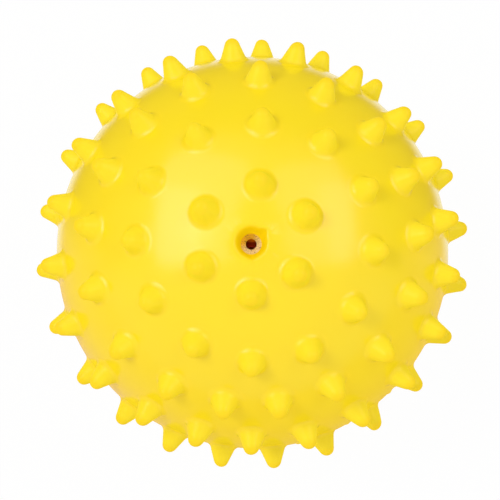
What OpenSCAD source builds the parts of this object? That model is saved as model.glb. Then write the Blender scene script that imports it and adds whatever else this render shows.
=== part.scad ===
// Studded squeaky ball: a hollow vinyl skin moulded in one piece with its studs,
// and a small reed squeaker pushed into the collar behind the recess on top.
// The middle of the ball is the origin and the squeaker looks up along +Z.

/* [Ball] */
// diameter of the round body between the studs
ball_diameter = 100; // [90:1:130]
// thickness of the moulded skin
wall_thickness = 2.2; // [1.8:0.1:3]

/* [Studs] */
// height of the full-size studs above the skin
stud_height = 5.25; // [4.6:0.05:6]
// radius of the full-size studs' rounded tips
stud_tip_radius = 1.85; // [1.5:0.05:2]
// diameter of the full-size studs' feet where they meet the skin
stud_foot_diameter = 7; // [6.6:0.1:7.4]
// radius of the small hollow curve between a stud's flank and the skin
stud_flare_radius = 0.6; // [0.4:0.05:0.8]
// angle in degrees between the hollow curve and the skin where they meet
stud_crease_angle = 20; // [15:1:30]

/* [Recess] */
// depth from the top of the ball to the squeaker's front
recess_depth = 2.6; // [2:0.1:3.4]
// diameter of the recess where it opens in the skin
recess_mouth_diameter = 6.7; // [6.4:0.1:7.4]
// width of the bevel round the recess's mouth
recess_bevel = 0.3; // [0.2:0.05:0.4]
// thickness of the soft lip over the squeaker's front edge
lip_thickness = 0.6; // [0.4:0.1:0.9]
// how far the lip reaches in over the squeaker's front edge
lip_overlap = 1.3; // [1.1:0.05:1.4]
// how far the longer torn corner of the recess reaches from the middle
long_corner_reach = 4.5; // [4.2:0.1:4.9]
// how far the shorter torn corner of the recess reaches from the middle
short_corner_reach = 3.9; // [3.8:0.1:4.3]
// width of both torn corners where they leave the recess
corner_width = 2.6; // [2:0.1:3.2]

/* [Squeaker] */
// outer diameter of the squeaker's barrel
barrel_diameter = 7; // [6.6:0.1:7.6]
// wall of the barrel
barrel_wall = 0.5; // [0.3:0.05:0.6]
// length of the barrel from its front to its inner rim
barrel_length = 9.5; // [8.6:0.1:11]
// depth of the dish in the barrel's front
dish_depth = 1; // [0.7:0.1:1.4]
// diameter of the air outlet in the middle of the dish
outlet_diameter = 2.3; // [2:0.1:2.8]
// how far the barrel's inner rim stands out all round
rim_width = 1.1; // [0.7:0.1:1.4]
// thickness of the barrel's inner rim
rim_thickness = 0.5; // [0.4:0.1:0.8]
// wall of the collar that holds the barrel
collar_wall = 2.4; // [1.6:0.1:3]
// room all round between pieces that are pushed together
fit_clearance = 0.05; // [0.03:0.01:0.1]

/* [Reed] */
// length of the round plug that fills the barrel
plug_length = 4.6; // [4:0.1:5]
// room between the dish and the plug's front
plug_setback = 0.6; // [0.4:0.1:1]
// length of the open trough behind the plug
trough_length = 9.4; // [8:0.1:11]
// wall left under the trough and the air channel
channel_floor = 0.4; // [0.3:0.05:0.7]
// how much slimmer than the plug the trough's back is, all round
trough_step = 0.4; // [0.2:0.1:0.6]
// wall that closes the trough's inner end
trough_end_wall = 1; // [0.6:0.1:1.6]
// how far the reed laps over each edge of the trough
reed_lap = 0.4; // [0.2:0.05:0.5]
// thickness of the reed
reed_thickness = 0.12; // [0.08:0.02:0.2]
// length of the reed that stands free
reed_free_length = 8.8; // [7.4:0.1:9]
// length of the reed's root inside its slot
reed_root_length = 0.6; // [0.4:0.1:0.8]
// gap between the reed at rest and the trough's edges
reed_gap = 0.35; // [0.3:0.05:0.5]
// room round the reed's root in its slot
reed_clearance = 0.06; // [0.04:0.01:0.08]

/* [Hidden] */
$fn = 64;
// extra length that carries a cut clear of the face it starts from
overrun = 1;
// share of the skin's thickness that a stud's root sinks into it
root_depth_share = 0.6;
// share of each arc's radius by which the flank's ends lie inside the arcs
flank_seam_share = 0.02;
// share of the flare's radius between its middle and the corner that it cuts away
flare_corner_share = 0.5;
// share of the skin's thickness that the collar's root reaches into it
collar_root_share = 0.5;
// bevel on the collar's inner corner
collar_bevel = 0.8;
// bevel on the edges of the plug and the wedge
plug_bevel = 0.3;
// bevel round the trough's closed end
trough_bevel = 1.2;
// headings of the two torn corners of the recess, longer one first
corner_headings = [44, 273];

// rows of studs from the squeaker round to the widest row, which the far side mirrors:
// how many, how far round from the squeaker in degrees, and the heading of the first
row_counts = [6, 12, 17, 21, 23];
row_polars = [13.6, 30.9, 46.6, 64, 81.1];
row_starts = [26, -2.4, 4, -6, -6];
// width and height of each row's studs as shares of the sizes above
row_width_shares = [1.1, 1, 1.05, 1, 1];
row_height_shares = [0.91, 0.87, 0.95, 1, 1];
// degrees by which each row leans over, and the heading it leans to
row_leans = [1.15, 1.8, 2.3, 2.6, 5];
lean_headings = [70, 42, 69, 94, 85];
// degrees by which each row sways out on its way round, how many times, and the heading where it first does
row_sways = [0.55, 0.4, 0.75, 2.4, 0.5];
sway_counts = [2, 3, 3, 3, 3];
sway_headings = [28, 40, -25, -41, 15];
// degrees by which the studs of each row shift along it, and the heading where they shift most
row_shifts = [3.2, 2.6, 1.7, 3.1, 3.6];
shift_headings = [290, 249, 234, 220, 195];
// the same for a smaller shift that comes three times on the way round
row_bunches = [1.6, 0.6, 1.1, 0.5, 0.5];
bunch_headings = [26, 8, -4, -17, -16];
// the far side's rows stand even: share of a step that they are turned,
// and share of the way out from their own pole that they reach
far_turn_share = 0.5;
far_reach_share = 0.92;

ball_radius = ball_diameter / 2;
inner_radius = ball_radius - wall_thickness;

// heights and radii of the squeaker and the recess
front_z = ball_radius - recess_depth;
rim_z = front_z - barrel_length;
collar_z = rim_z + rim_thickness;
barrel_radius = barrel_diameter / 2;
barrel_bore_radius = barrel_radius - barrel_wall;
lip_radius = barrel_radius - lip_overlap;
outlet_radius = outlet_diameter / 2;
mouth_radius = recess_mouth_diameter / 2;
mouth_z = sqrt(pow(ball_radius, 2) - pow(mouth_radius, 2));
collar_bore_radius = barrel_radius + fit_clearance;
collar_radius = collar_bore_radius + collar_wall;

plug_radius = barrel_bore_radius - fit_clearance;
plug_front_z = front_z - dish_depth - barrel_wall - plug_setback;
plug_end_z = plug_front_z - plug_length;
trough_end_z = plug_end_z - trough_length;
trough_radius = plug_radius - trough_step;
channel_diameter = trough_radius - reed_gap - channel_floor;
channel_radius = channel_diameter / 2;
channel_y = -reed_gap - channel_radius;
reed_width = channel_diameter + 2 * reed_lap;

function even_heading(row, i) = row_starts[row] + i * 360 / row_counts[row];

function stud_heading(row, i) =
    let (even = even_heading(row, i))
    even + row_shifts[row] * cos(even - shift_headings[row])
        + row_bunches[row] * cos(3 * (even - bunch_headings[row]));

function stud_polar(row, i) =
    let (even = even_heading(row, i))
    row_polars[row] + row_leans[row] * cos(even - lean_headings[row])
        + row_sways[row] * cos(sway_counts[row] * (even - sway_headings[row]));

// half the outline of one of a row's studs, standing along +Z
module stud_outline(row) {
    root_z = ball_radius - wall_thickness * root_depth_share;
    tip_radius = stud_tip_radius * row_width_shares[row];
    tip_z = ball_radius + stud_height * row_height_shares[row] - tip_radius;
    foot_radius = stud_foot_diameter / 2 * row_width_shares[row];
    foot_angle = asin(foot_radius / ball_radius);
    flare_end_angle = 90 - foot_angle - stud_crease_angle;
    flare_x = foot_radius + stud_flare_radius * cos(flare_end_angle);
    flare_z = ball_radius * cos(foot_angle) + stud_flare_radius * sin(flare_end_angle);
    centre_gap = norm([flare_x, tip_z - flare_z]);
    flank_angle = acos((tip_radius + stud_flare_radius) / centre_gap) - atan2(tip_z - flare_z, flare_x);
    flank_normal = [cos(flank_angle), sin(flank_angle)];
    tip_seam = [0, tip_z] + tip_radius * (1 - flank_seam_share) * flank_normal;
    flare_seam = [flare_x, flare_z] - stud_flare_radius * (1 - flank_seam_share) * flank_normal;
    difference() {
        polygon([
            [0, root_z],
            [flare_x, root_z],
            [flare_x, flare_z - stud_flare_radius * flare_corner_share],
            flare_seam,
            tip_seam,
            [0, tip_z]
        ]);
        translate([flare_x, flare_z])
            circle(r = stud_flare_radius);
    }
    intersection() {
        translate([0, tip_z])
            circle(r = tip_radius);
        translate([0, root_z])
            square([flare_x, tip_z - root_z + stud_height]);
    }
}

module stud(row, polar, heading) {
    rotate([0, polar, heading])
        rotate_extrude()
            stud_outline(row);
}

module studs() {
    for (row = [0 : len(row_counts) - 1])
        for (i = [0 : row_counts[row] - 1]) {
            stud(row, stud_polar(row, i), stud_heading(row, i));
            stud(row, 180 - row_polars[row] * far_reach_share, even_heading(row, i + far_turn_share));
        }
}

module collar() {
    root_end_z = inner_radius + wall_thickness * collar_root_share;
    rotate_extrude()
        polygon([
            [0, collar_z],
            [collar_radius - collar_bevel, collar_z],
            [collar_radius, collar_z + collar_bevel],
            [collar_radius, sqrt(pow(root_end_z, 2) - pow(collar_radius, 2))],
            [0, root_end_z]
        ]);
}

module recess() {
    rotate_extrude()
        polygon([
            [0, front_z - overrun],
            [lip_radius, front_z - overrun],
            [lip_radius, front_z + lip_thickness],
            [mouth_radius - recess_bevel, mouth_z - recess_bevel],
            [mouth_radius + overrun, mouth_z + overrun],
            [0, mouth_z + overrun]
        ]);
    torn_corner(long_corner_reach, corner_headings[0]);
    torn_corner(short_corner_reach, corner_headings[1]);
}

module torn_corner(reach, heading) {
    rotate([0, 0, heading])
        translate([0, 0, front_z + lip_thickness * 2])
            linear_extrude(height = recess_depth)
                polygon([[lip_radius, -corner_width / 2], [reach, 0], [lip_radius, corner_width / 2]]);
}

module ball_shell() {
    color("gold")
        difference() {
            union() {
                difference() {
                    union() {
                        sphere(r = ball_radius);
                        studs();
                    }
                    sphere(r = inner_radius);
                }
                collar();
            }
            recess();
            translate([0, 0, collar_z - overrun])
                cylinder(r = collar_bore_radius, h = front_z - collar_z + overrun);
        }
}

module squeaker_barrel() {
    dish_z = front_z - dish_depth;
    color("peru")
        rotate_extrude()
            polygon([
                [outlet_radius, dish_z],
                [lip_radius, front_z],
                [barrel_radius, front_z],
                [barrel_radius, collar_z],
                [barrel_radius + rim_width, collar_z],
                [barrel_radius + rim_width, rim_z],
                [barrel_bore_radius, rim_z],
                [barrel_bore_radius, front_z - barrel_wall * 2],
                [outlet_radius, dish_z - barrel_wall]
            ]);
}

module half_space(side) {
    reach = plug_radius + overrun;
    translate([-reach, side > 0 ? 0 : -reach, trough_end_z - overrun])
        cube([reach * 2, reach, plug_front_z - trough_end_z + overrun * 2]);
}

module reed_block() {
    color("maroon")
        difference() {
            rotate_extrude() {
                polygon([
                    [0, plug_end_z],
                    [plug_radius, plug_end_z],
                    [plug_radius, plug_front_z - plug_bevel],
                    [plug_radius - plug_bevel, plug_front_z],
                    [0, plug_front_z]
                ]);
                polygon([
                    [0, trough_end_z],
                    [trough_radius - trough_bevel, trough_end_z],
                    [trough_radius, trough_end_z + trough_bevel],
                    [trough_radius, plug_end_z + plug_bevel],
                    [0, plug_end_z + plug_bevel]
                ]);
            }
            half_space(1);
            translate([-plug_radius, -reed_gap, trough_end_z - overrun])
                cube([plug_radius * 2, plug_radius, trough_length + overrun]);
            translate([0, channel_y, trough_end_z + trough_end_wall])
                cylinder(r = channel_radius, h = plug_front_z - trough_end_z);
            translate([-channel_radius, channel_y, trough_end_z + trough_end_wall])
                cube([channel_diameter, plug_radius, trough_length - trough_end_wall]);
        }
}

module reed_wedge() {
    slot_width = reed_width + 2 * reed_clearance;
    color("brown")
        difference() {
            rotate_extrude()
                polygon([
                    [0, plug_end_z],
                    [plug_radius - plug_bevel, plug_end_z],
                    [plug_radius, plug_end_z + plug_bevel],
                    [plug_radius, plug_front_z - plug_bevel],
                    [plug_radius - plug_bevel, plug_front_z],
                    [0, plug_front_z]
                ]);
            half_space(-1);
            translate([-slot_width / 2, -overrun, plug_end_z - overrun])
                cube([
                    slot_width,
                    reed_thickness + 2 * reed_clearance + overrun,
                    reed_root_length + reed_clearance + overrun
                ]);
        }
}

module reed() {
    tip_corner = reed_lap * 2;
    color("khaki")
        translate([0, reed_clearance + reed_thickness, plug_end_z])
            rotate([90, 0, 0])
                linear_extrude(height = reed_thickness)
                    polygon([
                        [-reed_width / 2, reed_root_length],
                        [-reed_width / 2, tip_corner - reed_free_length],
                        [tip_corner - reed_width / 2, -reed_free_length],
                        [reed_width / 2 - tip_corner, -reed_free_length],
                        [reed_width / 2, tip_corner - reed_free_length],
                        [reed_width / 2, reed_root_length]
                    ]);
}

ball_shell();
squeaker_barrel();
reed_block();
reed_wedge();
reed();
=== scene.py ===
import math
import random

import bmesh
import bpy
from mathutils import Matrix, Vector, noise
from mathutils.geometry import delaunay_2d_cdt
from mathutils.kdtree import KDTree


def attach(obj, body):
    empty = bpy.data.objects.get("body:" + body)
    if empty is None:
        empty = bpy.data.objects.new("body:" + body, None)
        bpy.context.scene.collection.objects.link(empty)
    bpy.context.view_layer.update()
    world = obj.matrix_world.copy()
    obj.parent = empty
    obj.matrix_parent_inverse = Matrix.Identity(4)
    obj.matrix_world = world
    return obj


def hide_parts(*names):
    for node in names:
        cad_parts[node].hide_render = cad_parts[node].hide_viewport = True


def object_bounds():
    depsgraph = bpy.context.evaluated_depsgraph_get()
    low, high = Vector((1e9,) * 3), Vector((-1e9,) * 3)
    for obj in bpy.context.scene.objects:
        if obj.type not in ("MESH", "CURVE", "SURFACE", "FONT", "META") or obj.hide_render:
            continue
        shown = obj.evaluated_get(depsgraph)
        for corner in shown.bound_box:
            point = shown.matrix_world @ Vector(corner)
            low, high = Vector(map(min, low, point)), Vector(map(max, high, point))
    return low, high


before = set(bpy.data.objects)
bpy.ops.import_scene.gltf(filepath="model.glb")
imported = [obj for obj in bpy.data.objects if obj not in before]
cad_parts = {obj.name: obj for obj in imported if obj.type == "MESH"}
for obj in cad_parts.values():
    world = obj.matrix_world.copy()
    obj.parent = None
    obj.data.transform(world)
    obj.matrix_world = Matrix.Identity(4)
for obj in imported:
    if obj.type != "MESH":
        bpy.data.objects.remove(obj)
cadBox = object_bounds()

mm = 0.001
white = (1, 1, 1, 1)
black = (0, 0, 0, 1)
scene = bpy.context.scene


# gives a socket its value, or links a wire to it
def fill(tree, socket, value):
    if isinstance(value, Wire):
        tree.links.new(value.socket, socket)
    else:
        socket.default_value = value


# a socket that does maths: + - * / and comparisons add Math nodes
class Wire:
    def __init__(self, socket):
        self.socket = socket

    # one way to add any other node: settings first, then the values or links of its sockets
    @classmethod
    def node(cls, tree, kind, settings=None, sockets=None):
        made = tree.nodes.new(kind)
        for name, value in (settings or {}).items():
            setattr(made, name, value)
        for name, value in (sockets or {}).items():
            if isinstance(name, int):
                target = made.inputs[name]
            else:
                target = next(s for s in made.inputs if s.name == name and s.enabled)
            fill(tree, target, value)
        return {s.name: cls(s) for s in made.outputs if s.enabled}

    def math(self, operation, *others, swap=False):
        values = [self, *others]
        if swap:
            values.reverse()
        tree = self.socket.id_data
        made = Wire.node(tree, "ShaderNodeMath", {"operation": operation}, dict(enumerate(values)))
        return made["Value"]

    def __add__(self, other):
        return self.math("ADD", other)

    def __radd__(self, other):
        return self.math("ADD", other)

    def __sub__(self, other):
        return self.math("SUBTRACT", other)

    def __rsub__(self, other):
        return self.math("SUBTRACT", other, swap=True)

    def __mul__(self, other):
        return self.math("MULTIPLY", other)

    def __rmul__(self, other):
        return self.math("MULTIPLY", other)

    def __truediv__(self, other):
        return self.math("DIVIDE", other)

    def __rtruediv__(self, other):
        return self.math("DIVIDE", other, swap=True)

    def __lt__(self, other):
        return self.math("LESS_THAN", other)

    def __gt__(self, other):
        return self.math("GREATER_THAN", other)


# the nodes that several materials share
def split(place):
    return Wire.node(place.socket.id_data, "ShaderNodeSeparateXYZ", None, {"Vector": place})


def lengthOf(place):
    return Wire.node(place.socket.id_data, "ShaderNodeVectorMath", {"operation": "LENGTH"},
                     {"Vector": place})["Value"]


def rootOfSquares(x, y):
    return (x * x + y * y).math("SQRT")


# 1 on the given heading round the Z axis, -1 on the far side
def facing(flat, out, heading):
    turn = math.radians(heading)
    return (flat["X"] * math.cos(turn) + flat["Y"] * math.sin(turn)) / out


# runs softly from low to high as the value goes through the span
def softStep(value, span, low=0.0, high=1.0):
    return Wire.node(value.socket.id_data, "ShaderNodeMapRange", {"interpolation_type": "SMOOTHSTEP"}, {
        "Value": value, "From Min": span[0], "From Max": span[1], "To Min": low, "To Max": high})["Result"]


# the first colour where the factor is 0, the second where it is 1
def mixColours(tree, factor, first, second):
    return Wire.node(tree, "ShaderNodeMix", {"data_type": "RGBA"}, {
        "Factor": factor, "A": first, "B": second})["Result"]


def noiseAt(place, scale, detail):
    return Wire.node(place.socket.id_data, "ShaderNodeTexNoise", None, {
        "Vector": place, "Scale": scale, "Detail": detail})["Fac"]


def bumpFrom(height, strength, depth):
    return Wire.node(height.socket.id_data, "ShaderNodeBump", None, {
        "Strength": strength, "Distance": depth, "Height": height})["Normal"]


# fills sockets of a node that is already there
def plug(tree, node, values):
    for name, value in values.items():
        fill(tree, node.inputs[name], value)


def newMaterial(name):
    material = bpy.data.materials.new(name)
    material.use_nodes = True
    tree = material.node_tree
    place = Wire.node(tree, "ShaderNodeTexCoord")["Object"]
    return material, tree, tree.nodes["Principled BSDF"], place


# camera: it faces the squeaker from a little below
camera = {
    "distance": 250 * mm,
    "tiltDown": 2.16,  # degrees that the squeaker stands above the middle
    "tiltSide": 0.34,
    "limbRadius": 195.7,  # pixels of the 500 wide picture
    "middle": (252.5, 252.5),
    "picture": 500,
    "sensor": 36,
    "clip": (0.01, 20),
}


# stands a camera or lamp off the middle, facing it, with its top towards +Y
def standOff(thing, back, distance):
    right = Vector((0, 1, 0)).cross(back).normalized()
    turn = Matrix((right, back.cross(right), back)).transposed().to_4x4()
    thing.matrix_world = Matrix.Translation(back * distance) @ turn
    scene.collection.objects.link(thing)


def makeCamera():
    back = Vector((
        math.sin(math.radians(camera["tiltSide"])),
        -math.sin(math.radians(camera["tiltDown"])),
        1.0,
    )).normalized()
    data = bpy.data.cameras.new("photoCamera")
    away = camera["distance"] / ball["radius"]
    focal = camera["limbRadius"] * math.sqrt(away * away - 1)
    half = camera["picture"] / 2
    data.sensor_width = camera["sensor"]
    data.lens = camera["sensor"] * focal / camera["picture"]
    data.shift_x = (half - camera["middle"][0]) / camera["picture"]
    data.shift_y = (camera["middle"][1] - half) / camera["picture"]
    data.clip_start, data.clip_end = camera["clip"]
    eye = bpy.data.objects.new("photoCamera", data)
    standOff(eye, back, camera["distance"])
    scene.camera = eye


# the ball: radius and wall as in the solid
ball = {
    "radius": 50 * mm,
    "wall": 2.2 * mm,
    "skinPoints": 9000,  # spread over the skin between the studs
    "pointRoom": 0.9 * mm,  # kept clear round each stud's foot
    "swell": 0.1 * mm,  # slow unevenness of the moulded skin
    "swellSize": 16 * mm,
    "swellFrom": 9.0,  # degrees from the squeaker, with none closer in
    "farRing": 16,
    "farPolar": 176.0,
    "liningRings": 44,
}

# the studs stand where the solid's do, with a wider and softer flare
studs = {
    "height": 5.18 * mm,
    "tipRadius": 1.85 * mm,
    "footRadius": 4.2 * mm,
    "flareRadius": 1.7 * mm,
    "crease": 5.0,  # degrees between the skin and the flare where they meet
    "skirt": 0.3 * mm,  # skin that belongs to the stud's mesh
    "dullAndSheenShare": 0.5,  # of the flare, from its top, over which the dull coat and the studs' painted sheen fade out
    "around": 30,
    "tipRings": 6,
    "flankRings": 3,
    "flareRings": 5,
    "skirtRings": 1,
    # one column per row, from the squeaker outward
    "counts": (6, 12, 17, 21, 23),
    "polars": (13.6, 30.9, 46.6, 64, 81.1),
    "starts": (26, -2.4, 4, -6, -6),
    "widths": (0.97, 0.96, 1, 1, 1),  # shares of the sizes above
    "heights": (0.91, 0.87, 0.95, 1, 1),
    "leans": (1.15, 1.8, 2.3, 2.6, 5),
    "leanHeadings": (70, 42, 69, 94, 85),
    "sways": (0.55, 0.4, 0.75, 2.4, 0.5),
    "swayCounts": (2, 3, 3, 3, 3),
    "swayHeadings": (28, 40, -25, -41, 15),
    "shifts": (3.2, 2.6, 1.7, 3.1, 3.6),
    "shiftHeadings": (290, 249, 234, 220, 195),
    "bunches": (1.6, 0.6, 1.1, 0.5, 0.5),
    "bunchCounts": (3, 3, 3, 3, 3),
    "bunchHeadings": (26, 8, -4, -17, -16),
    "farTurn": 0.5,  # share of a step
    "farReach": 0.92,
    "bend": 0.28 * mm,  # how far a soft tip may stand off its axis
    "seed": 11,
}


# polar angle from the squeaker's axis and heading round it, in degrees
def seatDirection(polar, heading):
    p, h = math.radians(polar), math.radians(heading)
    return Vector((math.sin(p) * math.cos(h), math.sin(p) * math.sin(h), math.cos(p)))


# rises and falls so many times on the way round, with a crest at the given heading
def wave(times, heading, at):
    return math.cos(math.radians(times * (heading - at)))


# each stud's row and the direction of its seat, near and far half in turn
def seatDirections():
    found = []
    for row, count in enumerate(studs["counts"]):
        own = {name: values[row] for name, values in studs.items() if isinstance(values, tuple)}
        for i in range(count):
            even = own["starts"] + i * 360 / count
            polar = own["polars"] + own["leans"] * wave(1, even, own["leanHeadings"])
            polar += own["sways"] * wave(own["swayCounts"], even, own["swayHeadings"])
            heading = even + own["shifts"] * wave(1, even, own["shiftHeadings"])
            heading += own["bunches"] * wave(own["bunchCounts"], even, own["bunchHeadings"])
            found.append((row, seatDirection(polar, heading)))
            farHeading = even + studs["farTurn"] * 360 / count
            found.append((row, seatDirection(180 - own["polars"] * studs["farReach"], farHeading)))
    return found


# stud outline from arcs: round tip, straight flank, hollow flare that meets the skin at a crease
def studOutline(row):
    radius, flare = ball["radius"], studs["flareRadius"]
    foot, tip = studs["footRadius"] * studs["widths"][row], studs["tipRadius"] * studs["widths"][row]
    tipZ = studs["height"] * studs["heights"][row] - tip
    footAngle = math.asin(foot / radius)
    flareEnd = math.pi / 2 - footAngle - math.radians(studs["crease"])
    flareX = foot + flare * math.cos(flareEnd)
    flareZ = radius * math.cos(footAngle) - radius + flare * math.sin(flareEnd)
    apart = math.hypot(flareX, tipZ - flareZ)
    flank = math.acos((tip + flare) / apart) - math.atan2(tipZ - flareZ, flareX)
    return {
        "Tip radius": tip,
        "Tip height": tipZ,
        "Flare radius": flare,
        "Flare out": flareX,
        "Flare height": flareZ,
        "Flank angle": flank,
        "Flare end": flareEnd,
        "Foot angle": footAngle,
        "Skirt angle": studs["skirt"] / radius,
        "Stud height": tipZ + tip,
    }


# one stud from a cone of even rings, where w runs from 0 at the tip to 1 at the foot
def oneStud(tree, given, place):
    cone = Wire.node(tree, "GeometryNodeMeshCone", {"fill_type": "NONE"}, {
        "Vertices": given["Around"], "Side Segments": given["Rings"],
        "Radius Top": 0.0, "Radius Bottom": 1.0, "Depth": 1.0,
    })
    flat = split(place)
    w = rootOfSquares(flat["X"], flat["Y"])
    tipShare, flankShare, flareShare = given["Tip share"], given["Flank share"], given["Flare share"]
    flank, tip, flare = given["Flank angle"], given["Tip radius"], given["Flare radius"]

    # round tip
    tipAngle = w / tipShare * (math.pi / 2 - flank)
    tipOut = tip * tipAngle.math("SINE")
    tipUp = given["Tip height"] + tip * tipAngle.math("COSINE")

    # straight flank from the end of the tip to the start of the flare
    along = (w - tipShare) / (flankShare - tipShare)
    topOut = tip * flank.math("COSINE")
    topUp = given["Tip height"] + tip * flank.math("SINE")
    lowOut = given["Flare out"] - flare * flank.math("COSINE")
    lowUp = given["Flare height"] - flare * flank.math("SINE")
    flankOut = topOut + (lowOut - topOut) * along
    flankUp = topUp + (lowUp - topUp) * along

    # hollow flare, then a skirt that lies on the skin
    downFlare = (w - flankShare) / (flareShare - flankShare)
    flareAngle = flank + downFlare * (given["Flare end"] - flank)
    flareOut = given["Flare out"] - flare * flareAngle.math("COSINE")
    flareUp = given["Flare height"] - flare * flareAngle.math("SINE")
    onward = (w - flareShare) / (1.0 - flareShare)
    skirtAngle = given["Foot angle"] + onward * onward * given["Skirt angle"]
    skirtOut = given["Ball radius"] * skirtAngle.math("SINE")
    skirtUp = given["Ball radius"] * (skirtAngle.math("COSINE") - 1.0)

    # each ring takes its place from one of the four
    hair = 0.001  # keeps the flare's last ring on the flare
    onTip = w < tipShare
    onSkirt = w > flareShare + hair
    onFlare = (w > flankShare) - onSkirt
    onFlank = 1.0 - onTip - onFlare - onSkirt
    out = onTip * tipOut + onFlank * flankOut + onFlare * flareOut + onSkirt * skirtOut
    up = onTip * tipUp + onFlank * flankUp + onFlare * flareUp + onSkirt * skirtUp
    shaped = Wire.node(tree, "ShaderNodeCombineXYZ", None, {
        "X": flat["X"] / w * out, "Y": flat["Y"] / w * out, "Z": up,
    })["Vector"]
    # the dull coat and the studs' painted sheen fade out together down the flare
    dullAndSheen = (1.0 - downFlare * (1 / studs["dullAndSheenShare"])).math("MAXIMUM", 0.0)
    finish = Wire.node(tree, "GeometryNodeStoreNamedAttribute", {"data_type": "FLOAT", "domain": "POINT"}, {
        "Geometry": cone["Mesh"], "Name": "onStud", "Value": onTip + onFlank + onFlare * dullAndSheen,
    })["Geometry"]
    return Wire.node(tree, "GeometryNodeSetPosition", None, {
        "Geometry": finish, "Position": shaped,
    })["Geometry"]


# a row of studs on their seats, each tip bent by its seat's own lean
def studTree(material):
    tree = bpy.data.node_groups.new("studRows", "GeometryNodeTree")
    face = tree.interface
    face.new_socket(name="Seats", in_out="INPUT", socket_type="NodeSocketGeometry")
    for name in ("Around", "Rings"):
        face.new_socket(name=name, in_out="INPUT", socket_type="NodeSocketInt")
    for name in ("Tip share", "Flank share", "Flare share", "Tip radius", "Tip height", "Flare radius",
                 "Flare out", "Flare height", "Flank angle", "Flare end", "Foot angle", "Skirt angle",
                 "Ball radius", "Stud height"):
        face.new_socket(name=name, in_out="INPUT", socket_type="NodeSocketFloat")
    face.new_socket(name="Studs", in_out="OUTPUT", socket_type="NodeSocketGeometry")
    given = Wire.node(tree, "NodeGroupInput")
    place = Wire.node(tree, "GeometryNodeInputPosition")["Position"]
    stud = oneStud(tree, given, place)
    outward = Wire.node(tree, "FunctionNodeAlignRotationToVector", {"axis": "Z"}, {"Vector": place})
    rows = Wire.node(tree, "GeometryNodeInstanceOnPoints", None, {
        "Points": given["Seats"], "Instance": stud, "Rotation": outward["Rotation"],
    })["Instances"]
    plain = Wire.node(tree, "GeometryNodeRealizeInstances", None, {"Geometry": rows})["Geometry"]
    lean = Wire.node(tree, "GeometryNodeInputNamedAttribute", {"data_type": "FLOAT_VECTOR"},
                     {"Name": "lean"})["Attribute"]
    share = ((lengthOf(place) - given["Ball radius"]) / given["Stud height"]).math("MAXIMUM", 0.0)
    shift = Wire.node(tree, "ShaderNodeVectorMath", {"operation": "SCALE"},
                      {"Vector": lean, "Scale": share * share})["Vector"]
    bent = Wire.node(tree, "GeometryNodeSetPosition", None, {"Geometry": plain, "Offset": shift})["Geometry"]
    coated = Wire.node(tree, "GeometryNodeSetMaterial", None, {"Geometry": bent, "Material": material})
    Wire.node(tree, "NodeGroupOutput", None, {"Studs": coated["Geometry"]})
    return tree


# one row of studs as a plain mesh
def makeStuds(tree, row, seats):
    rings = [studs[name] for name in ("tipRings", "flankRings", "flareRings", "skirtRings")]
    values = studOutline(row)
    values.update({
        "Around": studs["around"],
        "Rings": sum(rings),
        "Tip share": rings[0] / sum(rings),
        "Flank share": sum(rings[:2]) / sum(rings),
        "Flare share": sum(rings[:3]) / sum(rings),
        "Ball radius": ball["radius"],
    })
    mesh = bpy.data.meshes.new("studSeats")
    mesh.from_pydata([d * ball["radius"] for d in seats], [], [])
    lean = mesh.attributes.new("lean", "FLOAT_VECTOR", "POINT")
    chance = random.Random(studs["seed"] + row)
    for i, d in enumerate(seats):
        push = Vector([chance.uniform(-1, 1) for _ in range(3)])
        lean.data[i].vector = (push - push.dot(d) * d) * studs["bend"]
    holder = bpy.data.objects.new("studSeats", mesh)
    scene.collection.objects.link(holder)
    modifier = holder.modifiers.new("studRows", "NODES")
    modifier.node_group = tree
    for socket in tree.interface.items_tree:
        if socket.in_out == "INPUT" and socket.name in values:
            modifier[socket.identifier] = values[socket.name]
    graph = bpy.context.evaluated_depsgraph_get()
    made = bpy.data.meshes.new_from_object(holder.evaluated_get(graph))
    holder.modifiers.clear()
    bpy.data.objects.remove(holder)
    print("studs:", len(seats), "with", len(made.polygons), "faces")
    return made


# the recess over the squeaker, the collar behind it and the lining, as one turned outline
recess = {
    "ringRadius": 5.2 * mm,  # where the turned part meets the skin
    "around": 72,
    "mouthRadius": 3.35 * mm,
    "lipRadius": 2.2 * mm,
    "frontHeight": 47.4 * mm,
    "lipThickness": 0.6 * mm,
    "boreRadius": 3.55 * mm,
    "collarRadius": 5.95 * mm,
    "collarHeight": 38.4 * mm,
    "collarBevel": 0.8 * mm,
    "collarFoot": 0.9 * mm,  # how far the collar spreads where it joins the lining
    "seatGap": 0.02 * mm,
    # rings of the worn edge: out past the mouth, depth, share of the torn corners
    "skinRings": ((1.1 * mm, 0.01 * mm, 0.5), (0.6 * mm, 0.04 * mm, 0.85)),  # depth under the skin
    "wallRings": (  # depth under the mouth's edge
        (0.25 * mm, 0.11 * mm, 1.0),
        (0.0, 0.23 * mm, 1.0),
        (-0.2 * mm, 0.44 * mm, 1.0),
        (-0.42 * mm, 0.75 * mm, 0.9),
        (-0.72 * mm, 1.15 * mm, 0.65),
    ),
    # out past the lip, height over its top, share of the torn corners
    "lipRings": ((0.3 * mm, 0.16 * mm, 0.3), (0.1 * mm, 0.02 * mm, 0.1), (0.0, -0.1 * mm, 0.0)),
    "underLip": ((0.0, 0.08 * mm), (0.06 * mm, 0.02 * mm)),  # out past the lip, height over the squeaker
    "footRings": ((0.0, 0.8 * mm), (0.25 * mm, 0.25 * mm)),  # out past the collar, depth under the lining
    "mouthShift": (0.05 * mm, 0.3 * mm),  # the torn mouth stands a little off the squeaker's middle
    "corners": ((40, 0.75 * mm, 24), (273, 0.38 * mm, 26)),  # heading, reach, half width in degrees
    "cornerHollow": 1.3,  # above 1, a corner's sides curve in
    "tintRings": 4,  # rings over which the recess's painted shade comes in
    "tintRise": 1.5,
}


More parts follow.
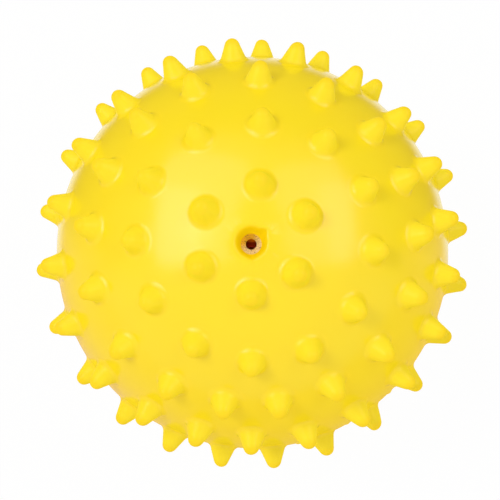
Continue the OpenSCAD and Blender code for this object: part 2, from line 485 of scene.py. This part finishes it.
# out from the axis, height, share of the torn corners
def recessOutline():
    radius = ball["radius"]
    inner = radius - ball["wall"]
    mouth, lip, front = recess["mouthRadius"], recess["lipRadius"], recess["frontHeight"]
    bore, collar, back = recess["boreRadius"], recess["collarRadius"], recess["collarHeight"]
    edge = math.sqrt(radius * radius - mouth * mouth)
    lipTop = front + recess["lipThickness"]
    torn = []
    for past, depth, share in recess["skinRings"]:
        out = mouth + past
        torn.append((out, math.sqrt(radius * radius - out * out) - depth, share))
    torn += [(mouth + past, edge - depth, share) for past, depth, share in recess["wallRings"]]
    torn += [(lip + past, lipTop + over, share) for past, over, share in recess["lipRings"]]

    turned = [(lip + past, front + over) for past, over in recess["underLip"]]
    turned += [
        (bore, front + recess["seatGap"]),
        (bore, (front + back) / 2),
        (bore, back),
        (collar - recess["collarBevel"], back),
        (collar, back + recess["collarBevel"]),
        (collar, (front + back) / 2),
    ]
    lining = math.sqrt(inner ** 2 - collar ** 2)
    turned += [(collar + past, lining - depth) for past, depth in recess["footRings"]]
    foot = math.asin((collar + recess["collarFoot"]) / inner)
    for i in range(ball["liningRings"]):
        angle = foot + (math.pi - foot) * i / ball["liningRings"]
        turned.append((inner * math.sin(angle), inner * math.cos(angle)))
    return torn + [(out, height, 0.0) for out, height in turned]


# how far the torn corners push the mouth out at a heading in radians
def cornerReach(heading):
    reach = 0.0
    for toward, most, half in recess["corners"]:
        apart = abs((math.degrees(heading) - toward + 180) % 360 - 180)
        reach += most * max(0.0, 1 - apart / half) ** recess["cornerHollow"]
    return reach


# angle at the ball's middle between a stud's axis and the edge of its mesh
def studReach(row):
    foot = math.asin(studs["footRadius"] * studs["widths"][row] / ball["radius"])
    return foot + studs["skirt"] / ball["radius"]


# joins the studs' feet and the recess's ring by a net of triangles
def fillSkin(bm, seats):
    radius = ball["radius"]
    feet = [v for v in bm.verts if v.is_boundary]
    turn = [2 * math.pi * i / recess["around"] for i in range(recess["around"])]
    ringAngle = math.asin(recess["ringRadius"] / radius)
    ring = [bm.verts.new(seatDirection(math.degrees(ringAngle), math.degrees(a)) * radius) for a in turn]
    farTurn = [2 * math.pi * i / ball["farRing"] for i in range(ball["farRing"])]
    farRing = [bm.verts.new(seatDirection(ball["farPolar"], math.degrees(a)) * radius) for a in farTurn]

    nearest = KDTree(len(seats))
    for i, (row, d) in enumerate(seats):
        nearest.insert(d, i)
    nearest.balance()

    # angle from the edge of the nearest stud's mesh
    def fromStud(point):
        d = point.normalized()
        seat, i, _ = nearest.find(d)
        return seat.angle(d) - studReach(seats[i][0])

    room = ball["pointRoom"] / radius
    golden = math.pi * (3 - math.sqrt(5))
    loose = []
    for i in range(ball["skinPoints"]):
        z = 1 - 2 * (i + 0.5) / ball["skinPoints"]
        flat = math.sqrt(1 - z * z)
        d = Vector((flat * math.cos(golden * i), flat * math.sin(golden * i), z))
        polar = math.acos(z)
        if polar < ringAngle + room or polar > math.radians(ball["farPolar"]) - room:
            continue
        if fromStud(d) > room:
            loose.append(bm.verts.new(d * radius))

    # seen flat from the far pole, a plain triangle net joins feet, ring and loose points
    points = feet + ring + loose + farRing
    seen = []
    for v in points:
        d = v.co.normalized()
        seen.append(Vector((d.x, d.y)) * (2 / (1 + d.z)))
    tooClose = 1e-9
    _, _, faces, origins, _, _ = delaunay_2d_cdt(seen, [], [], 0, tooClose)
    underStud = -0.0008  # radians; triangles that close a stud's foot lie further in
    inRing = recess["ringRadius"] * 0.995  # triangles that close the ring lie further in
    for face in faces:
        corners = [points[origins[i][0]] for i in face]
        middle = (corners[0].co + corners[1].co + corners[2].co) / 3
        if fromStud(middle) < underStud:
            continue
        if math.hypot(middle.x, middle.y) < inRing and middle.z > 0:
            continue
        bm.faces.new(corners)
    pole = bm.verts.new((0, 0, -radius))
    for a, b in zip(farRing, farRing[1:] + farRing[:1]):
        bm.faces.new((b, a, pole))
    return ring, turn


# carries the ring on through the recess, round the collar and along the lining
def turnRecess(bm, ring, turn):
    inside = bm.verts.layers.float["inRecess"]
    last = ring
    for step, (out, height, share) in enumerate(recessOutline()):
        new = []
        shift = [d * share for d in recess["mouthShift"]]
        for a in turn:
            wide = out + cornerReach(a) * share
            v = bm.verts.new((wide * math.cos(a) + shift[0], wide * math.sin(a) + shift[1], height))
            # painted shade: how strongly each ring takes the recess's deeper yellow
            v[inside] = min(1.0, step / recess["tintRings"]) ** recess["tintRise"]
            new.append(v)
        for i in range(len(turn)):
            k = (i + 1) % len(turn)
            bm.faces.new((last[i], last[k], new[k], new[i]))
        last = new
    pole = bm.verts.new((0, 0, ball["wall"] - ball["radius"]))
    for i in range(len(turn)):
        bm.faces.new((last[i], last[(i + 1) % len(turn)], pole))


def makeSkin(material):
    seats = seatDirections()
    tree = studTree(material)
    bm = bmesh.new()
    for row in range(len(studs["counts"])):
        made = makeStuds(tree, row, [d for own, d in seats if own == row])
        bm.from_mesh(made)
        bpy.data.meshes.remove(made)
    bm.verts.layers.float.new("inRecess")
    ring, turn = fillSkin(bm, seats)
    outside = list(bm.verts)
    turnRecess(bm, ring, turn)
    # the outer skin is a little uneven, but not close round the recess
    for v in outside:
        d = v.co.normalized()
        if d.z < math.cos(math.radians(ball["swellFrom"])):
            v.co += d * ball["swell"] * noise.noise(v.co / ball["swellSize"])
    bmesh.ops.recalc_face_normals(bm, faces=bm.faces)
    bm.normal_update()
    mesh = bpy.data.meshes.new("vinylSkin")
    bm.to_mesh(mesh)
    bm.free()
    mesh.materials.clear()
    mesh.materials.append(material)
    mesh.shade_smooth()
    skin = bpy.data.objects.new("vinylSkin", mesh)
    scene.collection.objects.link(skin)
    print("skin:", len(mesh.polygons), "faces")
    return skin


# soft yellow vinyl: the skin is glossy, the studs and the recess are dull; the studs are painted paler as a
# painted sheen, the recess deeper as painted shade
vinyl = {
    "yellow": (0.985, 0.735, 0.009, 1),
    "deepYellow": (0.975, 0.71, 0.008, 1),
    "deepShare": 0.6,
    "studSheenYellow": (0.985, 0.775, 0.026, 1),  # painted sheen: the studs are painted a little paler, and their thin coat leaves them dull
    "tipYellow": (0.975, 0.69, 0.018, 1),
    "tipSpan": (0.6, 0.95),  # shares of the stud's height where the tip's finish comes in
    # painted shade in the recess
    "recessYellow": (0.95, 0.66, 0.004, 1),
    "cloudScale": 45.0,  # slow changes in colour and gloss
    "cloudSpan": (0.35, 0.7),
    "grainScale": 900.0,
    "speck": (0.35, 0.22, 0.02, 1),
    "speckShare": 0.55,
    "speckScale": 110.0,
    "speckSize": 0.035,
    "rareScale": 60.0,  # keeps the specks to a few places
    "rareOver": 0.62,
    "roughness": 0.5,
    "cloudRoughness": 0.12,
    "grainRoughness": 0.05,
    "gloss": 1.0,  # coat on the skin
    "cloudGloss": 0.1,
    "flankGloss": 0.26,
    "tipGloss": 0.18,
    "glossRoughness": 0.2,
    "bump": 0.12,
    "bumpDepth": 0.1 * mm,
    "grainBump": 0.6,
}


def vinylFinish():
    material, tree, shader, place = newMaterial("yellowVinyl")
    onStud = Wire.node(tree, "ShaderNodeAttribute", {"attribute_name": "onStud"})["Fac"]
    inRecess = Wire.node(tree, "ShaderNodeAttribute", {"attribute_name": "inRecess"})["Fac"]
    cloud = noiseAt(place, vinyl["cloudScale"], detail=3.0)
    grain = noiseAt(place, vinyl["grainScale"], detail=2.0)
    speck = Wire.node(tree, "ShaderNodeTexVoronoi", None, {
        "Vector": place, "Scale": vinyl["speckScale"]})["Distance"]
    rare = noiseAt(place, vinyl["rareScale"], detail=0.0)
    spot = (speck < vinyl["speckSize"]) * (rare > vinyl["rareOver"])
    deep = Wire.node(tree, "ShaderNodeMapRange", None, {
        "Value": cloud, "From Min": vinyl["cloudSpan"][0], "From Max": vinyl["cloudSpan"][1]})["Result"]
    onTip = softStep(lengthOf(place), [ball["radius"] + studs["height"] * s for s in vinyl["tipSpan"]])
    tint = mixColours(tree, deep * vinyl["deepShare"], vinyl["yellow"], vinyl["deepYellow"])
    # painted sheen: the studs are painted paler
    tint = mixColours(tree, onStud, tint, vinyl["studSheenYellow"])
    tint = mixColours(tree, onTip, tint, vinyl["tipYellow"])
    # painted shade: the recess is painted a deeper yellow
    tint = mixColours(tree, inRecess, tint, vinyl["recessYellow"])
    tint = mixColours(tree, spot * vinyl["speckShare"], tint, vinyl["speck"])
    studGloss = vinyl["flankGloss"] + onTip * (vinyl["tipGloss"] - vinyl["flankGloss"])
    gloss = (vinyl["gloss"] + onStud * (studGloss - vinyl["gloss"])) * (1.0 - inRecess)
    uneven = (cloud - 0.5) * vinyl["cloudRoughness"] + (grain - 0.5) * vinyl["grainRoughness"]
    plug(tree, shader, {
        "Base Color": tint,
        "Roughness": vinyl["roughness"] + uneven,
        "Specular IOR Level": 0.0,
        "Coat Weight": gloss * ((cloud - 0.5) * vinyl["cloudGloss"] + 1.0),
        "Coat Roughness": vinyl["glossRoughness"],
        "Normal": bumpFrom(grain * vinyl["grainBump"] + cloud, vinyl["bump"], vinyl["bumpDepth"]),
    })
    return material


# the squeaker: metal with turned lines, painted shade on one side and pits, red plastic inside with painted
# light in its air channel and on the top of the plug's front
copper = (1.0, 0.94, 0.5, 1)
brass = (0.85, 0.62, 0.24, 1)
squeaker = {
    # colours, how close the turned lines are, shares of painted shade and pits
    "barrel": {"light": copper, "dark": brass, "lines": 9000.0, "paintedShade": 1.0, "pits": 0.8},
    "reed": {"light": brass, "dark": copper, "lines": 2250.0, "paintedShade": 0.0, "pits": 0.15},
    "stainScale": 700.0,
    "stainShare": 0.5,
    "lineShare": 0.3,
    "lineWaver": 1.5,
    "paintedShadeBrown": (0.9, 0.55, 0.03, 1),
    "paintedShadeHeading": 125,  # the side that is painted brown as painted shade
    "paintedShadeSpan": (-0.4, 0.8),
    "paintedShadeEdge": 0.5,  # how ragged it ends
    "pitBrown": (0.28, 0.15, 0.03, 1),
    "pitScale": 4200.0,
    "pitSpan": (0.56, 0.68),
    "metallic": 0.55,
    "metalRoughness": 0.42,
    "stainRoughness": 0.15,
    "metalBump": 0.4,
    "metalBumpDepth": 0.03 * mm,
    "plastic": (0.11, 0.005, 0.0005, 1),
    "plasticWorn": (0.165, 0.016, 0.001, 1),
    "plasticGrain": 1200.0,
    "plasticRoughness": 0.5,
    "grainRoughness": 0.2,
    "plasticBump": 0.2,
    "plasticBumpDepth": 0.02 * mm,
    "paintedChannelLight": (0.27, 0.03, 0.006, 1),  # the air channel's walls, painted a lighter red as painted light through the plastic
    "channelGlow": (0.088, 0.0065, 0.002, 1),  # light that comes through the red plastic
    "channelAt": -1.25 * mm,
    "channelRadius": 0.92 * mm,
    # painted light on the plug's front
    "paintedLightOrange": (0.95, 0.23, 0.003, 1),
    "paintedLightSpan": (0.3 * mm, 1.25 * mm),  # heights where the plug's front turns a paler orange towards the top: painted light
}


def metalFinish(name, own):
    material, tree, shader, place = newMaterial(name)
    flat = split(place)
    out = rootOfSquares(flat["X"], flat["Y"])
    stain = noiseAt(place, squeaker["stainScale"], detail=3.0)
    turned = (out * own["lines"] + stain * squeaker["lineWaver"]).math("SINE") * 0.5 + 0.5
    pitted = softStep(noiseAt(place, squeaker["pitScale"], detail=1.0), squeaker["pitSpan"])
    # painted shade: the metal is painted brown on the side that the recess's edge shades, with a ragged end
    side = facing(flat, out, squeaker["paintedShadeHeading"]) + (stain - 0.5) * squeaker["paintedShadeEdge"]
    shadedSide = softStep(side, squeaker["paintedShadeSpan"])
    worn = stain * squeaker["stainShare"] + turned * squeaker["lineShare"]
    tint = mixColours(tree, worn, own["light"], own["dark"])
    tint = mixColours(tree, shadedSide * own["paintedShade"], tint, squeaker["paintedShadeBrown"])
    tint = mixColours(tree, pitted * own["pits"], tint, squeaker["pitBrown"])
    plug(tree, shader, {
        "Base Color": tint,
        "Metallic": squeaker["metallic"],
        "Roughness": squeaker["metalRoughness"] + stain * squeaker["stainRoughness"],
        "Normal": bumpFrom(turned - pitted, squeaker["metalBump"], squeaker["metalBumpDepth"]),
    })
    return material


def plasticFinish():
    material, tree, shader, place = newMaterial("squeakerPlastic")
    grain = noiseAt(place, squeaker["plasticGrain"], detail=4.0)
    flat = split(place)
    # painted light: the top of the plug's front is painted a paler orange
    paintedLitTop = softStep(flat["Y"], squeaker["paintedLightSpan"])
    fromChannel = rootOfSquares(flat["X"], flat["Y"] - squeaker["channelAt"])
    inChannel = fromChannel < squeaker["channelRadius"]
    tint = mixColours(tree, grain, squeaker["plastic"], squeaker["plasticWorn"])
    tint = mixColours(tree, paintedLitTop, tint, squeaker["paintedLightOrange"])
    # painted light: the air channel's walls are painted a lighter red and given a faint glow
    tint = mixColours(tree, inChannel, tint, squeaker["paintedChannelLight"])
    plug(tree, shader, {
        "Base Color": tint,
        "Emission Color": mixColours(tree, inChannel, black, squeaker["channelGlow"]),
        "Emission Strength": 1.0,
        "Roughness": grain * squeaker["grainRoughness"] + squeaker["plasticRoughness"],
        "Specular IOR Level": 0.0,
        "Normal": bumpFrom(grain, squeaker["plasticBump"], squeaker["plasticBumpDepth"]),
    })
    return material


# white floor with a faint shadow, which the gloss sees tinted
floor = {
    "size": 6.0,  # metres
    "grey": (0.88, 0.88, 0.88, 1),
    "roughness": 0.9,
    "shadowShare": 0.03,  # of the floor's own shading that shows
    "contactShare": 0.5,  # close under the ball
    "contactRadius": 62 * mm,
    # what the gloss shows of the floor: white close above the ball, warmed by the ball below it
    "poolSpan": (84 * mm, 118 * mm),
    "poolSide": (-0.2, 0.12),
    "above": (0.16, 0.08, 0.05, 1),
    "aboveSpan": (-10 * mm, 50 * mm),
    "below": (0.84, 0.54, 0.40, 1),
    "shade": (0.88, 0.57, 0.13, 1),  # in the ball's own shadow
    "shadeHeading": 297,
    "shadeSpan": (0.3, 0.95),
}


# 1 where the camera sees a place straight or through glass, and 1 where the gloss sees it
def sightOf(tree):
    path = Wire.node(tree, "ShaderNodeLightPath")
    return path["Is Camera Ray"].math("MAXIMUM", path["Is Transmission Ray"]), path["Is Glossy Ray"]


def floorFinish():
    material, tree, shader, place = newMaterial("floorWhite")
    flat = split(place)
    out = rootOfSquares(flat["X"], flat["Y"])
    shade = softStep(facing(flat, out, floor["shadeHeading"]), floor["shadeSpan"])
    above = softStep(flat["Y"], floor["aboveSpan"])
    close = softStep(out, floor["poolSpan"], low=1.0, high=0.0)
    close = close * softStep(flat["Y"] / out, floor["poolSide"])
    shadow = softStep(out, (0.0, floor["contactRadius"]), floor["contactShare"], floor["shadowShare"])
    seen, gloss = sightOf(tree)
    tint = mixColours(tree, shade, floor["below"], floor["shade"])
    tint = mixColours(tree, above, tint, floor["above"])
    tint = mixColours(tree, close, tint, white)
    tint = mixColours(tree, gloss, white, tint)
    glow = Wire.node(tree, "ShaderNodeEmission", None, {"Color": tint, "Strength": 1.0})["Emission"]
    plug(tree, shader, {
        "Base Color": floor["grey"],
        "Roughness": floor["roughness"],
        "Specular IOR Level": 0.0,
    })
    glowing = (seen * (1.0 - shadow)).math("MAXIMUM", gloss * (1 - floor["shadowShare"]))
    mixed = Wire.node(tree, "ShaderNodeMixShader", None, {
        0: glowing, 1: Wire(shader.outputs["BSDF"]), 2: glow})["Shader"]
    plug(tree, tree.nodes["Material Output"], {"Surface": mixed})
    return material


def makeFloor(height):
    half = floor["size"] / 2
    corners = [(x * half, y * half, height) for x, y in ((-1, -1), (1, -1), (1, 1), (-1, 1))]
    mesh = bpy.data.meshes.new("floor")
    mesh.from_pydata(corners, [], [(0, 1, 2, 3)])
    mesh.materials.append(floorFinish())
    sheet = bpy.data.objects.new("floor", mesh)
    scene.collection.objects.link(sheet)


# a light tent: soft light all round, softboxes that show only in the gloss, keys that stay out of it
studio = {
    "tentLevel": 1.075,
    "tentSlope": (0.115, -0.155, -0.53),
    "tentAbove": (0.985, 1.035, 1.07, 1),  # the tent's light is a little cooler above than below
    "tentBelow": (1.0, 0.965, 0.92, 1),
    # what the gloss shows of the tent: a dim room, paler in front and below
    "glossDark": 0.12,
    "glossLeast": 0.03,
    "glossFront": 0.5,
    "frontSpan": (-0.1, 0.9),
    "frontCovers": 0.6,  # of what shows below
    "glossBelow": 0.5,
    "belowSpan": (-0.02, -0.3),
    "glossAbove": -0.18,
    "glossRight": -0.1,
    "lampTint": (0.85, 0.6, 1.0),  # cool, so that the shine on the yellow stays creamy
    # name, direction as right, up and towards the camera, distance, width and height in metres, watts
    "softboxes": (
        ("leftVeil", (-0.45, 0.47, 0.76), 0.85, 0.82, 1.2, 1.15),
        ("leftSoftbox", (-0.493, 0.341, 0.8), 0.8, 0.64, 0.94, 2.75),
        ("leftCore", (-0.618, 0.218, 0.755), 0.78, 0.33, 0.52, 0.9),
        ("rightVeil", (0.5, 0.43, 0.75), 0.85, 0.66, 1.05, 0.5),
        ("rightSoftbox", (0.555, 0.318, 0.769), 0.8, 0.57, 0.80, 1.55),
        ("rightCore", (0.735, 0.245, 0.632), 0.78, 0.22, 0.53, 0.46),
    ),
    "keys": (
        ("leftKey", (-0.46, 0.2, 0.865), 1.0, 0.3, 0.3, 3.2),
        ("rightKey", (0.5, 0.32, 0.8), 1.0, 0.3, 0.3, 0.9),
    ),
}


def makeTent():
    world = bpy.data.worlds.new("studioWorld")
    world.use_nodes = True
    scene.world = world
    tree = world.node_tree
    way = split(Wire.node(tree, "ShaderNodeTexCoord")["Generated"])
    # what lights the ball
    slope = studio["tentSlope"]
    even = way["X"] * slope[0] + way["Y"] * slope[1] + way["Z"] * slope[2] + studio["tentLevel"]
    # what the gloss shows
    front = softStep(way["Z"], studio["frontSpan"])
    below = softStep(way["Y"], studio["belowSpan"], high=studio["glossBelow"])
    shine = front * studio["glossFront"] + below * (1.0 - front * studio["frontCovers"])
    shine = shine + way["Y"].math("MAXIMUM", 0.0) * studio["glossAbove"] + way["X"] * studio["glossRight"]
    shine = (shine + studio["glossDark"]).math("MAXIMUM", studio["glossLeast"])
    seen, gloss = sightOf(tree)
    level = even + gloss * (shine - even)
    level = level + seen * (1.0 - level)
    hue = mixColours(tree, way["Y"] * 0.5 + 0.5, studio["tentBelow"], studio["tentAbove"])
    hue = mixColours(tree, seen, hue, white)
    plug(tree, tree.nodes["Background"], {"Color": hue, "Strength": level})


def makeLamp(name, toward, distance, width, tall, watts):
    data = bpy.data.lights.new(name, "AREA")
    data.shape = "RECTANGLE"
    data.size = width
    data.size_y = tall
    data.energy = watts
    lamp = bpy.data.objects.new(name, data)
    standOff(lamp, Vector(toward).normalized(), distance)
    return lamp


def makeLight():
    makeTent()
    for values in studio["softboxes"]:
        lamp = makeLamp(*values)
        lamp.data.color = studio["lampTint"]
        lamp.visible_diffuse = False
    for values in studio["keys"]:
        lamp = makeLamp(*values)
        lamp.visible_glossy = False


scene.view_settings.view_transform = "Standard"
makeCamera()
print("camera set")
skin = makeSkin(vinylFinish())
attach(skin, "ball")
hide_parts("ball_shell")

plastic = plasticFinish()
finishes = {
    "squeaker_barrel": metalFinish("squeakerMetal", squeaker["barrel"]),
    "reed_block": plastic,
    "reed_wedge": plastic,
    "reed": metalFinish("reedMetal", squeaker["reed"]),
}
for name, material in finishes.items():
    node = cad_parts[name]
    node.data.materials.clear()
    node.data.materials.append(material)
print("squeaker finished")

makeFloor(cadBox[0].z)
makeLight()
print("floor and lights set")
